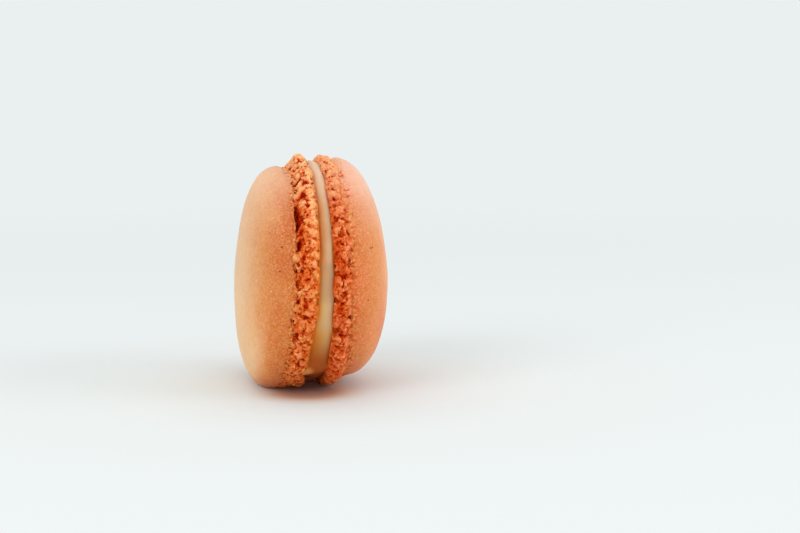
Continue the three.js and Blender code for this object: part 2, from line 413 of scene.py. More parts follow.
def dome_surface(shell, angle, rise):
    """The dome: rise 0 is its rim, 90 its crown. It stands out by a power of the sine of the rise.

    Noise makes its outline and its skin waver, the rim is tucked in, the crown sags towards the top, and a
    low shoulder lifts the skin just past the rim at the top.
    """
    turn = np.radians(angle)
    climb = np.radians(rise)
    share = np.cos(climb)
    noise_y = -np.cos(turn) * share * 3
    noise_z = np.sin(turn) * share * 3
    side = np.full(noise_y.shape, shell["side"])
    outline = np.stack([noise_y * 1.3, noise_z * 1.3, side], axis=-1)
    waver = soft_noise(outline, shell["seed"] + 13)
    radius = shell["dome_radius"] * share * (1 + OUTLINE_WAVER * waver)
    height = radius * np.sin(turn) + shell["dome_lift"]
    crown = shell["dome_height"] * (1 - shell["dome_sag"] * radius * np.sin(turn) / shell["dome_radius"])
    skin = np.stack([noise_y, noise_z, np.full(noise_y.shape, 4.0)], axis=-1)
    swell = SKIN_SWELL * soft_noise(skin, shell["seed"] + 17) * np.sin(climb)
    out = crown * np.sin(climb) ** (2 / shell["dome_power"]) + swell - RIM_TUCK * (1 - np.sin(climb))
    shoulder = SHOULDER_HEIGHT * smooth_step(0.5, 0.9, np.sin(turn))
    shoulder = shoulder * smooth_step(0.4, 1.5, out) * smooth_step(0.2, 0.6, share)
    return ring_point(rim_x(shell, height) + shell["side"] * out, radius, turn, height + shoulder)


def cream_surface(angle, station):
    """The cream's edge: from the left face to the right it swells out as a parabola, with a blob low down."""
    turn = np.radians(angle)
    blob = np.exp(-((angle_between(angle, BLOB["angle"]) / BLOB["half_span"]) ** 2))
    around = np.stack([np.cos(turn) * 4, np.sin(turn) * 4, station], axis=-1)
    waver = 0.12 * soft_noise(around, 41)
    crown = 1 - (2 * station - 1) ** 2
    swell = FILLING_BULGE * (crown - 1) * (1 - blob) + FILLING_TILT * (station - 0.5) + waver
    reach = FILLING_RADIUS + swell + BLOB["swell"] * blob * (1.2 - station)
    height = reach * np.sin(turn) + FILLING_LIFT
    left = face_x(SHELLS["left"], height) - FILLING_OVERLAP - BLOB["spill"] * blob**2
    right = face_x(SHELLS["right"], height) + FILLING_OVERLAP
    return ring_point(mix(left, right, station), reach, turn, height)


# ---- grids into meshes

def ring_angles(columns):
    return (np.arange(columns) * 360.0 / columns)[None, :]


def station_grid(angle, count):
    """Full grids of the columns' angles and of this many stations."""
    shape = (count, angle.shape[1])
    return np.broadcast_to(angle, shape), np.broadcast_to(np.linspace(0, 1, count)[:, None], shape)


def grid_normals(points, outward):
    """Unit normals of a grid that closes on itself from column to column: the cross product of its steps."""
    along = np.gradient(points, axis=0)
    around = np.roll(points, -1, axis=1) - np.roll(points, 1, axis=1)
    normals = np.cross(along, around)
    normals /= np.maximum(np.linalg.norm(normals, axis=-1, keepdims=True), 1e-9)
    return normals * outward


def add_mesh(name, rows, first_pole=None, last_pole=None, close_rows=False, flip=False):
    """A closed mesh from a grid of points in mm: quads between rows, and fans to a pole at either end."""
    row_count, column_count = rows.shape[:2]
    points = rows.reshape(-1, 3)
    index = np.arange(row_count * column_count).reshape(row_count, column_count)
    lower = index if close_rows else index[:-1]
    upper = np.roll(index, -1, axis=0) if close_rows else index[1:]
    quads = np.stack([lower, np.roll(lower, -1, 1), np.roll(upper, -1, 1), upper], axis=-1).reshape(-1, 4)
    fans = []
    for pole, ring, turned in ((first_pole, index[0], True), (last_pole, index[-1], False)):
        if pole is None:
            continue
        tip = np.full(column_count, len(points))
        points = np.vstack([points, np.asarray(pole, float)[None]])
        fan = np.stack([ring, np.roll(ring, -1), tip], axis=-1)
        fans.append(fan[:, ::-1] if turned else fan)
    points = points + AXIS_PLACE
    points[:, 2] = np.maximum(points[:, 2], 0.0)
    if flip:
        quads = quads[:, ::-1]
        fans = [fan[:, ::-1] for fan in fans]
    corners = np.concatenate([quads.ravel()] + [fan.ravel() for fan in fans]).astype(np.int32)
    sizes = np.concatenate([np.full(len(quads), 4)] + [np.full(len(fan), 3) for fan in fans])
    starts = np.concatenate([[0], np.cumsum(sizes)[:-1]]).astype(np.int32)
    mesh = bpy.data.meshes.new(name)
    mesh.vertices.add(len(points))
    mesh.vertices.foreach_set("co", (points * 0.001).astype(np.float32).ravel())
    mesh.loops.add(len(corners))
    mesh.loops.foreach_set("vertex_index", corners)
    mesh.polygons.add(len(sizes))
    mesh.polygons.foreach_set("loop_start", starts)
    mesh.update(calc_edges=True)
    mesh.validate()
    mesh.shade_smooth()
    piece = bpy.data.objects.new(name, mesh)
    bpy.context.scene.collection.objects.link(piece)
    return piece


def paint(piece, name, rows, poles=()):
    """Keep one number for each point of the mesh, for its material to read."""
    values = np.concatenate([rows.ravel(), np.asarray(poles, float)])
    layer = piece.data.attributes.new(name, "FLOAT", "POINT")
    layer.data.foreach_set("value", values.astype(np.float32))


# ---- the domes

def profile_rows(shell, count):
    """Rises from rim to crown at growing lengths along the dome's profile, and those lengths."""
    rises = np.linspace(0, 90, 4000)
    climb = np.radians(rises)
    across = shell["dome_radius"] * np.cos(climb)
    up = shell["dome_height"] * np.sin(climb) ** (2 / shell["dome_power"])
    length = np.concatenate([[0], np.cumsum(np.hypot(np.diff(across), np.diff(up)))])
    wanted = length[-1] * np.linspace(0, 1, count + 1) ** DOME_ROW_CROWDING
    return np.interp(wanted, length, rises)[:-1, None], wanted[:-1, None]


def dome_underside(shell, turn):
    """The rings of the dome's hidden underside, from the middle out to a curl just inside the rim."""
    rim = shell["dome_radius"]
    rings = []
    for radius, inset in DOME_UNDER_RINGS + ((rim - 0.75, 0.3), (rim - 0.16, -0.05)):
        height = radius * np.sin(turn) + shell["dome_lift"]
        x = rim_x(shell, height) + shell["side"] * inset + rim_waver(shell, turn) * (radius > 20)
        rings.append(ring_point(x, radius, turn, height))
    return rings


def make_dome(name, shell):
    """The smooth cap: an underside, a crumbly rim, and the skin up to its crown with small bumps.

    The froth's relief fades away from the rim as a bell, and only its first few mm are worked out.
    """
    seed = shell["seed"]
    side = shell["side"]
    angle = ring_angles(DOME_COLUMNS)
    turn = np.radians(angle)
    rises, along = profile_rows(shell, DOME_ROWS)
    cap = dome_surface(shell, np.broadcast_to(angle, (DOME_ROWS, DOME_COLUMNS)), rises + 0 * angle)
    band = int(np.searchsorted(along[:, 0], CRUMBLY_WIDTH))
    froth_lift = np.zeros(cap.shape[:2])
    pits = np.zeros(cap.shape[:2])
    spot = wandering(cap[:band], seed + 40)
    froth_lift[:band] = crumb_lift(cap[:band], spot, seed)
    pits[:band] = seam_pits(shell, spot, along[:band])
    reach = shell["rim_reach"] * (1 + 0.4 * soft_noise(cap / 1.7, seed + 32))
    fringe = np.exp(-((along / reach) ** 2))
    frill = FRILL_SHARE * shell["rim_share"] * froth_lift * fringe
    grain = 0.012 * gradient_noise(cap / 0.9, seed + 33) + 0.05 * soft_noise(cap / 4.5, seed + 34)
    bumps = BUMP_SHARE * BUMP_SIZE * burst_bubbles(cap / BUMP_SIZE, seed + 36, 0.25, 0.08, 0.15)
    cap = cap + grid_normals(cap, side) * (frill + grain + bumps - pits)[..., None]
    cap[..., 0] += rim_waver(shell, turn) * np.exp(-((along / WAVER_REACH) ** 2))
    under = dome_underside(shell, turn)
    rows = np.concatenate([np.concatenate(under, axis=0), cap], axis=0)
    middle = [rim_x(shell, shell["dome_lift"]) + side * DOME_UNDER_RINGS[0][1], 0, shell["dome_lift"]]
    crown = dome_surface(shell, np.zeros(1), np.full(1, 90.0))[0]
    piece = add_mesh(name, rows, middle, crown, flip=side > 0)
    # The tone darkens the rim's hollows and pits with painted shade.
    hollow = froth_lift - spread(froth_lift, 5, 4)
    tone = np.clip(0.5 + 0.9 * hollow + 0.3 * froth_lift - 0.9 * pits, 0, 1)
    hidden = np.zeros((len(under), DOME_COLUMNS))
    paint(piece, "climb", np.concatenate([hidden, np.sin(np.radians(rises)) + 0 * angle]), [0, 1])
    paint(piece, "tone", np.concatenate([hidden + tone[:1], tone]), [0.5, 0.5])
    paint(piece, "fringe", np.concatenate([hidden + 1, fringe]), [1, 0])
    return piece


# ---- the feet

def foot_inside(shell, lip, turn):
    """The rings of the foot's inner face, from the edge of a hidden hole out to just inside the lip."""
    lip_radius = np.hypot(lip[:, 1], lip[:, 2] - shell["foot_lift"])[None, :]
    rings = []
    for share in FOOT_INNER_SHARES:
        radius = mix(FOOT_HOLE_RADIUS, lip_radius, share)
        height = radius * np.sin(turn) + shell["foot_lift"]
        rings.append(ring_point(face_x(shell, height), radius, turn, height))
    return rings


def foot_creep(shell, last, turn):
    """The froth's thin edge, which creeps up the dome past the rim, and how far past the rim each row lies.

    It follows the dome's profile, less far at the top, and sinks into it as a power of the way out, patchily
    by noise. The last rows drop straight down inside the dome.
    """
    seed = shell["seed"]
    seam_radius = np.hypot(last[:, 1], last[:, 2] - shell["dome_lift"])[None, :]
    share = np.linspace(0, 1, CREEP_ROWS + 1)[1:, None]
    reach = shell["creep"] * share * (1 - 0.75 * smooth_step(0.4, 0.75, np.sin(turn)))
    profile = shell["dome_radius"] * np.sqrt(1 - (reach / shell["dome_height"]) ** shell["dome_power"])
    patchy = 0.16 * soft_noise(last[None] / 2.2, seed + 26) + 0.08 * soft_noise(last[None] / 0.9, seed + 27)
    sink = CREEP_SINK * share**1.5 - patchy * share
    drop = np.concatenate([shell["dome_radius"] - profile + sink, CREEP_DROPS[:, None] + 0 * seam_radius])
    out = np.concatenate([reach] + [reach[-1:]] * len(CREEP_DROPS))
    radius = seam_radius - drop
    height = radius * np.sin(turn) + shell["dome_lift"]
    return ring_point(last[None, :, 0] + shell["side"] * out, radius, turn, height), out


def foot_froth(shell, rows, station, past_rim):
    """How far the fine froth lifts each point of the foot, in mm: crumbs, less craters and the rim's pits.

    The crumbs are calmer by the lip, where a crust lies over them, and lower by the rim.
    """
    seed = shell["seed"]
    spot = wandering(rows, seed + 40)
    fade = 1 - (1 - shell["rim_share"]) * smooth_step(0.6, 1.0, station)
    calm = 1 - 0.5 * shell["crust"] * smooth_step(0.55, 0.3, station)
    craters = CRATER_SIZE * burst_bubbles(spot / CRATER_SIZE, seed + 70, 0.3, 0.18, 0.32)
    lift = crumb_lift(rows, spot, seed, calm) * fade
    return lift - CRATER_SHARE * craters - seam_pits(shell, spot, past_rim)


def foot_tone(shell, angle, station, depth, dents):
    """How pale the froth is, from 0 to 1: by how far it stands out from the froth round it, near and wide.
    This makes its crests paler and darkens its hollows, partly with painted shade.

    Shades are added for the top, where the paler tone is painted light from above, for the lip, with a
    painted shadow right by the cream, and for the rim. The slits and the large hollows are darker, with
    painted shade.
    """
    across_top = np.sin(np.radians(angle))
    by_top = smooth_step(0.45, 0.75, across_top)
    near = depth - spread(depth, 5, 6)
    wide = depth - spread(depth, 14, 16)
    contrast = shell["contrast"] * (1 + shell["top_contrast"] * by_top)
    tone = 0.52 + (0.7 * near + 0.5 * wide) * contrast
    lip = shell["lip_shade"] * smooth_step(0.5, 0.25, station) * smooth_step(-0.35, 0.35, across_top)
    lip = lip + shell["lip_shadow"] * smooth_step(0.1, 0.02, station)
    edge = shell["edge_shade"] * smooth_step(0.45, 0.7, station)
    tone = tone + shell["painted_top_light_tone"] * by_top + lip + edge
    return np.clip(tone + 0.5 * dents - 0.5 * slit_depth(shell, angle, station), 0, 1)


def make_foot(name, shell):
    """The frothy foot: a closed band of an inner face, a ragged outside, and a thin creep up the dome.

    Froth and dents lift each point along its normal, which noise slants so that some crumbs overhang.
    """
    side = shell["side"]
    angle = ring_angles(FOOT_COLUMNS)
    turn = np.radians(angle)
    grid_angle, grid_station = station_grid(angle, FOOT_ROWS)
    outside, relief = foot_surface(shell, grid_angle, grid_station)
    swell = shell["seam_swell"] * smooth_step(0.6, 1.0, grid_station)
    outside[..., 1] -= swell * np.cos(turn)
    outside[..., 2] += swell * np.sin(turn)
    inside = foot_inside(shell, outside[0], turn)
    creep, out = foot_creep(shell, outside[-1], turn)
    rows = np.concatenate(inside + [outside, creep], axis=0)
    lead = len(inside)
    tail = len(creep)
    station = np.concatenate([np.full(lead, 0.0), grid_station[:, 0], np.full(tail, 1.0)])[:, None]
    shown = np.concatenate([FOOT_INNER_SHOWN, np.ones(FOOT_ROWS + CREEP_ROWS), CREEP_DROPS_SHOWN])[:, None]
    short_of_rim = (station[:-tail] - 1) * foot_width(shell) + 0 * angle
    past_rim = np.concatenate([short_of_rim, out])
    normals = grid_normals(rows, side)
    normals[-tail:] = ring_point(CREEP_LEAN * side + 0 * turn, 1.0, turn, np.sin(turn))
    slant = [gradient_noise(rows / 1.7, shell["seed"] + 95 + n) for n in range(3)]
    dents = dent_lift(shell, angle, past_rim)
    lift = foot_froth(shell, rows, station, past_rim) + dents
    rows = rows + (normals + CRUMB_SLANT * np.stack(slant, axis=-1)) * (lift * shown)[..., None]
    relief = np.concatenate([np.repeat(relief[:1], lead, 0), relief, np.repeat(relief[-1:], tail, 0)])
    piece = add_mesh(name, rows, close_rows=True, flip=side > 0)
    # The tone is partly painted shade: darker in the froth's hollows, slits and dents.
    paint(piece, "tone", foot_tone(shell, angle, station, relief + lift * shown, dents))
    paint(piece, "station", station + 0 * past_rim)
    paint(piece, "past_rim", np.maximum(past_rim, -9.0))
    return piece


# ---- the cream

def make_cream(name):
    """The disc of cream: flat sides hidden between the shells, and a rippled edge that swells out."""
    angle = ring_angles(CREAM_COLUMNS)
    turn = np.radians(angle)
    grid_angle, grid_station = station_grid(angle, CREAM_ROWS)
    edge = cream_surface(grid_angle, grid_station)
    ripple = 0.035 * soft_noise(edge / np.array([1.2, 2.6, 2.6]), 43) + 0.008 * soft_noise(edge / 0.6, 44)
    edge = edge + grid_normals(edge, 1.0) * ripple[..., None]
    sides = []
    poles = []
    for shell in (SHELLS["left"], SHELLS["right"]):
        overlap = shell["side"] * FILLING_OVERLAP
        rings = []
        for radius in CREAM_INNER_RADII:
            height = radius * np.sin(turn) + FILLING_LIFT
            rings.append(ring_point(face_x(shell, height) + overlap, radius, turn, height))
        sides.append(rings)
        poles.append([face_x(shell, FILLING_LIFT) + overlap, 0, FILLING_LIFT])
    rows = np.concatenate(sides[0] + [edge] + sides[1][::-1], axis=0)
    piece = add_mesh(name, rows, poles[0], poles[1], flip=True)
    hidden = np.zeros((len(CREAM_INNER_RADII), CREAM_COLUMNS))
    paint(piece, "across", np.concatenate([hidden, grid_station, hidden + 1]), [0, 1])
    return piece


# ---- materials

class Surface:
    """A material made of nodes, written down step by step. Its base is its colour so far."""

    def __init__(self, name):
        self.material = bpy.data.materials.new(name)
        self.material.use_nodes = True
        self.nodes = self.material.node_tree.nodes
        self.links = self.material.node_tree.links
        self.shader = self.nodes["Principled BSDF"]
        self.base = None

    def add(self, kind, **settings):
        node = self.nodes.new(kind)
        for key, value in settings.items():
            setattr(node, key, value)
        return node

    def put(self, socket, value):
        """Link a socket, or set a plain value on it."""
        if isinstance(value, bpy.types.NodeSocket):
            self.links.new(value, socket)
        else:
            socket.default_value = value

    def attribute(self, name):
        return self.add("ShaderNodeAttribute", attribute_name=name, attribute_type="GEOMETRY").outputs["Fac"]

    def place(self):
        return self.add("ShaderNodeTexCoord").outputs["Object"]

    def noise(self, size_mm, detail=3.0, roughness=0.55):
        """Soft noise from 0 to 1 with features of about this size."""
        node = self.add("ShaderNodeTexNoise")
        self.links.new(self.place(), node.inputs["Vector"])
        node.inputs["Scale"].default_value = 1000.0 / size_mm
        node.inputs["Detail"].default_value = detail
        node.inputs["Roughness"].default_value = roughness
        return node.outputs["Fac"]

    def scattered(self, size_mm, outer, inner, rarity):
        """Round spots, one to a cell of this size: 0 past the outer radius and 1 inside the inner, in cells.

        Only the spots whose random number passes the rarity are there.
        """
        node = self.add("ShaderNodeTexVoronoi")
        self.links.new(self.place(), node.inputs["Vector"])
        node.inputs["Scale"].default_value = 1000.0 / size_mm
        present = self.math("GREATER_THAN", node.outputs["Color"], rarity)
        return self.times(self.between(node.outputs["Distance"], outer, inner), present)

    def distance_from(self, point_mm):
        """How far, in mm, the surface is from one fixed point."""
        node = self.add("ShaderNodeVectorMath", operation="DISTANCE")
        self.links.new(self.place(), node.inputs[0])
        node.inputs[1].default_value = [0.001 * value for value in point_mm]
        return self.times(node.outputs["Value"], 1000.0)

    def math(self, operation, a, b, clamp=False):
        node = self.add("ShaderNodeMath", operation=operation, use_clamp=clamp)
        self.put(node.inputs[0], a)
        self.put(node.inputs[1], b)
        return node.outputs[0]

    def times(self, a, b):
        return self.math("MULTIPLY", a, b)

    def swing(self, noise, amount):
        """Noise from 0 to 1, as a swing of half this amount either way."""
        return self.times(self.math("SUBTRACT", noise, 0.5), amount)

    def between(self, value, low, high, out_low=0.0, out_high=1.0):
        """Map low..high smoothly to out_low..out_high."""
        node = self.add("ShaderNodeMapRange", interpolation_type="SMOOTHSTEP")
        for socket, item in zip(node.inputs, (value, low, high, out_low, out_high)):
            self.put(socket, item)
        return node.outputs[0]

    def by_height(self, low_mm, high_mm, out_low=0.0, out_high=1.0):
        """Map heights over the table smoothly to out_low..out_high."""
        parts = self.add("ShaderNodeSeparateXYZ")
        self.links.new(self.place(), parts.inputs[0])
        return self.between(parts.outputs["Z"], low_mm * 0.001, high_mm * 0.001, out_low, out_high)

    def wash(self, tint, *shares, kind="MIX"):
        """Lay a tint over the base, by the product of these shares."""
        amount = shares[0]
        for share in shares[1:]:
            amount = self.times(amount, share)
        node = self.add("ShaderNodeMix", data_type="RGBA", blend_type=kind)
        self.put(node.inputs["Factor"], amount)
        self.put(node.inputs["A"], self.base)
        self.put(node.inputs["B"], tint)
        self.base = node.outputs["Result"]

    def ramp(self, amount, stops):
        """Colours at positions from 0 to 1, blended between."""
        node = self.add("ShaderNodeValToRGB")
        self.links.new(amount, node.inputs["Fac"])
        elements = node.color_ramp.elements
        while len(elements) < len(stops):
            elements.new(0.5)
        for element, (position, tint) in zip(elements, stops):
            element.position = position
            element.color = tint
        return node.outputs["Color"]

    def bump(self, height, distance_mm, strength):
        node = self.add("ShaderNodeBump")
        node.inputs["Strength"].default_value = strength
        node.inputs["Distance"].default_value = distance_mm * 0.001
        self.links.new(height, node.inputs["Height"])
        return node.outputs["Normal"]

    def set(self, **sockets):
        for key, value in sockets.items():
            self.put(self.shader.inputs[key.replace("_", " ")], value)


def colour(red, green, blue):
    """An sRGB colour from 0 to 255, as the shader's linear one."""
    def linear(value):
        value = value / 255.0
        return value / 12.92 if value <= 0.04045 else ((value + 0.055) / 1.055) ** 2.4
    return (linear(red), linear(green), linear(blue), 1.0)


# The left dome's colours and shares, and the right one's. The crown's paleness is partly painted sheen, and
# the top colour is painted light from above. The low colour shows below the first of the low heights and in
# full below
# the second: on the left it is painted light bounced from the table, on the right a painted darker red shade.
# The low gain multiplies the colours low down, as painted light bounced from the table.
DOME_LOOKS = by_side({
    "rim": (colour(198, 95, 18), colour(210, 111, 42)),
    "body": (colour(212, 132, 66), colour(229, 143, 78)),
    "crown": (colour(227, 180, 135), colour(248, 184, 146)),
    "blush": (colour(214, 136, 58), colour(224, 108, 60)),
    "top": (colour(251, 214, 184), colour(253, 216, 202)),
    "painted_top_light_share": (0.42, 0.5),
    "low": (colour(240, 200, 154), colour(218, 106, 52)),
    "low_share": (0.75, 0.75),
    "low_climb": (0.25, 0.3),
    "low_heights": ((21, 4), (26, 12)),
    "painted_bounce_gain": ((1.09, 1.1, 1.06, 1.0), (1.04, 1.06, 1.12, 1.0)),
    # The hollow colour is painted shade in the rim's crumbs.
    "hollow": (colour(214, 78, 18), colour(214, 74, 18)),
    "crest": (colour(248, 176, 116), colour(248, 172, 112)),
})

# The left foot's and the right one's. The stops run from the deepest hollows to the highest crumbs, and their
# dark end is partly painted shade.
FOOT_LOOKS = by_side({
    "stops": (
        [
            (0.0, colour(150, 18, 0)), (0.2, colour(197, 52, 0)), (0.45, colour(216, 94, 30)),
            (0.7, colour(234, 132, 70)), (1.0, colour(246, 174, 114)),
        ],
        [
            (0.0, colour(156, 22, 0)), (0.2, colour(188, 50, 0)), (0.45, colour(206, 76, 17)),
            (0.7, colour(223, 107, 54)), (1.0, colour(243, 150, 98)),
        ],
    ),
    "rim": (colour(222, 138, 76), colour(222, 132, 76)),
    "painted_top_light_share": (0.4, 0.7),
    "lip_amber_share": (0.3, 0.12),
    "crust_share": (0.24, 0.0),
})

# The cream's colours across its edge, from the left face to the right one. Their orange at both edges is
# partly painted light bounced from the orange feet.
CREAM_HIGH = [
    (0.0, colour(222, 112, 28)), (0.25, colour(204, 126, 58)), (0.4, colour(202, 142, 84)),
    (0.6, colour(207, 164, 124)), (0.85, colour(214, 182, 144)), (0.97, colour(206, 104, 42)),
]
CREAM_MIDDLE = [
    (0.0, colour(238, 140, 30)), (0.15, colour(240, 180, 96)), (0.35, colour(222, 180, 115)),
    (0.6, colour(212, 177, 130)), (0.88, colour(218, 172, 126)), (1.0, colour(230, 136, 66)),
]
CREAM_LOW = [
    (0.0, colour(232, 130, 18)), (0.16, colour(230, 134, 18)), (0.38, colour(212, 142, 48)),
    (0.65, colour(206, 160, 92)), (0.88, colour(212, 152, 90)), (1.0, colour(220, 112, 40)),
]


def dome_colours(skin, look, climb):
    """The dome's broad colours: from rim to crown, blushed in patches, paler high up with painted light, and
    changed low down with painted light and shade.
    """
    patches = skin.swing(skin.noise(7.0, detail=4.0, roughness=0.6), 0.36)
    level = skin.math("ADD", climb, patches, clamp=True)
    # The crown's paler colour is partly painted sheen: light grazing the dome's outline.
    skin.base = skin.ramp(level, [(0.1, look["rim"]), (0.55, look["body"]), (0.95, look["crown"])])
    blush = skin.between(skin.noise(7.0, detail=2.0), 0.42, 0.7, 0.0, 0.5)
    skin.wash(look["blush"], blush, skin.between(climb, 1.0, 0.7))
    # Painted light from above: the skin grows paler high up, and more so at the very top.
    painted_top_light = skin.by_height(29, 43, 0.0, look["painted_top_light_share"])
    skin.wash(look["top"], painted_top_light, skin.between(climb, -0.3, 0.65))
    skin.wash(look["top"], skin.by_height(37.5, 43.5, 0.0, 0.65 * look["painted_top_light_share"]))
    # Painted light bounced from the table brightens the skin low down; on the right the low colour is a
    # painted darker red shade.
    skin.wash(look["painted_bounce_gain"], skin.by_height(27, 13), kind="MULTIPLY")
    by_crown = skin.between(climb, look["low_climb"], look["low_climb"] + 0.35, 0.0, look["low_share"])
    skin.wash(look["low"], skin.by_height(*look["low_heights"]), by_crown)


def crumbly_colours(skin, look, fringe, grain):
    """The specks by the dome's rim: deep in its hollows and red in its pits, as painted shade, and pale on
    its crests.
    """
    tone = skin.math("ADD", skin.attribute("tone"), skin.swing(grain, 1.0))
    kinds = (
        (look["hollow"], skin.between(tone, 0.5, 0.2, 0.0, 0.6)),
        (look["crest"], skin.between(tone, 0.56, 0.8, 0.0, 0.7)),
        (colour(170, 34, 0), skin.between(tone, 0.08, -0.04)),
    )
    crumbly = skin.between(fringe, 0.12, 0.7)
    for tint, share in kinds:
        skin.wash(tint, crumbly, share)


def dome_skin(name, look, pinholes):
    """Smooth baked meringue: softly mottled, grained, with pale specks and dark pinholes painted as shade,
    and a crumbly rim.

    The attribute climb is 0 at the rim and 1 at the crown, and fringe is 1 where the skin is all crumbs. The
    skin has a velvety sheen and some gloss, which the crumbs lack.
    """
    skin = Surface(name)
    climb = skin.attribute("climb")
    fringe = skin.attribute("fringe")
    dome_colours(skin, look, climb)
    mottle = skin.between(skin.noise(1.3, detail=3.0, roughness=0.6), 0.38, 0.62, 0.0, 0.4)
    skin.wash(colour(244, 226, 206), mottle, kind="MULTIPLY")
    grain = skin.noise(0.4, detail=3.0, roughness=0.7)
    skin.wash(colour(250, 206, 158), skin.between(grain, 0.38, 0.68, 0.0, 0.25))
    speck = skin.scattered(1.6, 0.13, 0.05, 0.6)
    skin.wash(colour(255, 216, 172), speck, 0.55)
    crumbly_colours(skin, look, fringe, grain)
    shaded_pinholes = skin.scattered(5.5, 0.034, 0.018, 0.6)
    for place, radius in pinholes:
        shaded_pinholes = skin.math("MAXIMUM", shaded_pinholes, skin.between(skin.distance_from(place), radius, radius * 0.5))
    # Painted shade in the pinholes.
    skin.wash(colour(156, 34, 0), shaded_pinholes, 0.95)
    height = skin.math("ADD", skin.times(grain, 0.5), skin.times(speck, 0.6))
    normal = skin.bump(skin.math("SUBTRACT", height, shaded_pinholes), 0.07, 0.6)
    gloss = skin.between(fringe, 0.7, 0.1, 0.04, 0.22)
    velvet = skin.between(fringe, 0.7, 0.1, 0.0, 0.1)
    skin.set(Base_Color=skin.base, Normal=normal, Roughness=0.55, Subsurface_Weight=0.3,
             Subsurface_Radius=(1.0, 0.35, 0.12), Subsurface_Scale=0.0012, Sheen_Weight=velvet,
             Sheen_Roughness=0.4, Sheen_Tint=(1.0, 0.95, 0.88, 1.0), Specular_IOR_Level=gloss)
    return skin.material


def foot_crumb(name, look):
    """Open meringue froth: pale where it stands out, deep orange in its hollows, pricked by fine pores; the
    dark of hollows and pores is partly painted shade.

    Its crumbs are paler near the top, as painted light from above, and in the crust by the lip, and by the
    rim they take the dome's colour.
    The lip itself is tinted amber.
    """
    crumb = Surface(name)
    station = crumb.attribute("station")
    speckle = crumb.swing(crumb.noise(0.4, detail=3.0), 0.45)
    patches = crumb.swing(crumb.noise(3.0, detail=2.0), 0.3)
    level = crumb.math("ADD", crumb.math("ADD", crumb.attribute("tone"), speckle), patches)
    # The pores and pricks are darkened with painted shade, and dented by the bump.
    shaded_pore = crumb.between(crumb.noise(0.3, detail=4.0, roughness=0.7), 0.42, 0.32)
    level = crumb.math("SUBTRACT", level, crumb.times(shaded_pore, 0.25))
    shaded_prick = crumb.scattered(0.62, 0.36, 0.2, 0.5)
    level = crumb.math("SUBTRACT", crumb.math("ADD", level, 0.04), crumb.times(shaded_prick, 0.4), clamp=True)
    crumb.base = crumb.ramp(level, look["stops"])
    # Painted light from above: the crumbs grow paler high up.
    painted_top_light = crumb.by_height(34, 47.5, 0.0, look["painted_top_light_share"])
    crumb.wash(colour(255, 190, 142), painted_top_light, crumb.between(level, 0.15, 0.75))
    by_rim = crumb.between(crumb.attribute("past_rim"), -1.0, 0.6, 0.0, 0.7)
    crumb.wash(look["rim"], by_rim, level)
    crust = crumb.between(station, 0.5, 0.25, 0.0, look["crust_share"])
    crumb.wash(colour(252, 212, 160), crust, level, crumb.by_height(30, 36))
    # An amber tint on the lip by the cream.
    crumb.wash(colour(226, 150, 50), crumb.between(station, 0.16, 0.02, 0.0, look["lip_amber_share"]))
    rough = crumb.times(crumb.noise(0.2, detail=3.0, roughness=0.7), 0.9)
    deep = crumb.math("ADD", shaded_pore, crumb.times(shaded_prick, 1.2))
    normal = crumb.bump(crumb.math("SUBTRACT", rough, deep), 0.1, 0.8)
    crumb.set(Base_Color=crumb.base, Normal=normal, Roughness=0.8, Subsurface_Weight=0.45,
              Subsurface_Radius=(1.0, 0.25, 0.05), Subsurface_Scale=0.0008, Specular_IOR_Level=0.05)
    return crumb.material


def cream_finish(name, blob_place):
    """Translucent cream: clouded colours high up, in the middle and low down, a little greyer half way up.

    It is paler near the top, painted light from above, and brown at the bottom, painted shade by the table,
    and the blob is a pale spot of its own.
    """
    cream = Surface(name)
    clouds = cream.swing(cream.noise(2.6, detail=3.0), 0.25)
    level = cream.math("ADD", cream.attribute("across"), clouds, clamp=True)
    cream.base = cream.ramp(level, CREAM_HIGH)
    cream.wash(cream.ramp(level, CREAM_MIDDLE), cream.by_height(30, 24))
    cream.wash(cream.ramp(level, CREAM_LOW), cream.by_height(16.2, 12))
    half_way = cream.times(cream.by_height(18.5, 21.5), cream.by_height(28.5, 26))
    cream.wash(colour(236, 226, 230), half_way, kind="MULTIPLY")
    # Painted light from above.
    cream.wash(colour(226, 190, 164), cream.by_height(36, 45, 0.0, 0.7))
    # Painted shade low down, by the table.
    cream.wash(colour(178, 82, 8), cream.by_height(13.5, 6.5, 0.0, 0.9))
    blob = cream.between(cream.distance_from(blob_place), 2.4, 1.0, 0.0, 0.85)
    cream.wash(colour(236, 164, 100), blob)
    normal = cream.bump(cream.noise(1.4, detail=2.0), 0.05, 0.5)
    cream.set(Base_Color=cream.base, Normal=normal, Roughness=0.4, Subsurface_Weight=0.6,
              Subsurface_Radius=(1.0, 0.5, 0.16), Subsurface_Scale=0.0018, Specular_IOR_Level=0.3)
    return cream.material


# ---- the pieces and their finishes

def finish_piece(piece, material, shell_node):
    piece.data.materials.append(material)
    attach(piece, "root")
    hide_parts(shell_node)


def add_shell(label, shell):
    """A dome and a foot, which together take the place of one shell."""
    pinholes = []
    for hole_angle, hole_rise, hole_radius in shell["pinholes"]:
        at = dome_surface(shell, np.full(1, hole_angle), np.full(1, hole_rise))[0]
        pinholes.append((at + AXIS_PLACE, hole_radius))
    dome = make_dome(f"{label}_dome", shell)
    skin = dome_skin(f"{label}_dome_skin", DOME_LOOKS[label], pinholes)
    finish_piece(dome, skin, shell["node"])
    foot = make_foot(f"{label}_foot", shell)
    crumb = foot_crumb(f"{label}_foot_crumb", FOOT_LOOKS[label])
    finish_piece(foot, crumb, shell["node"])


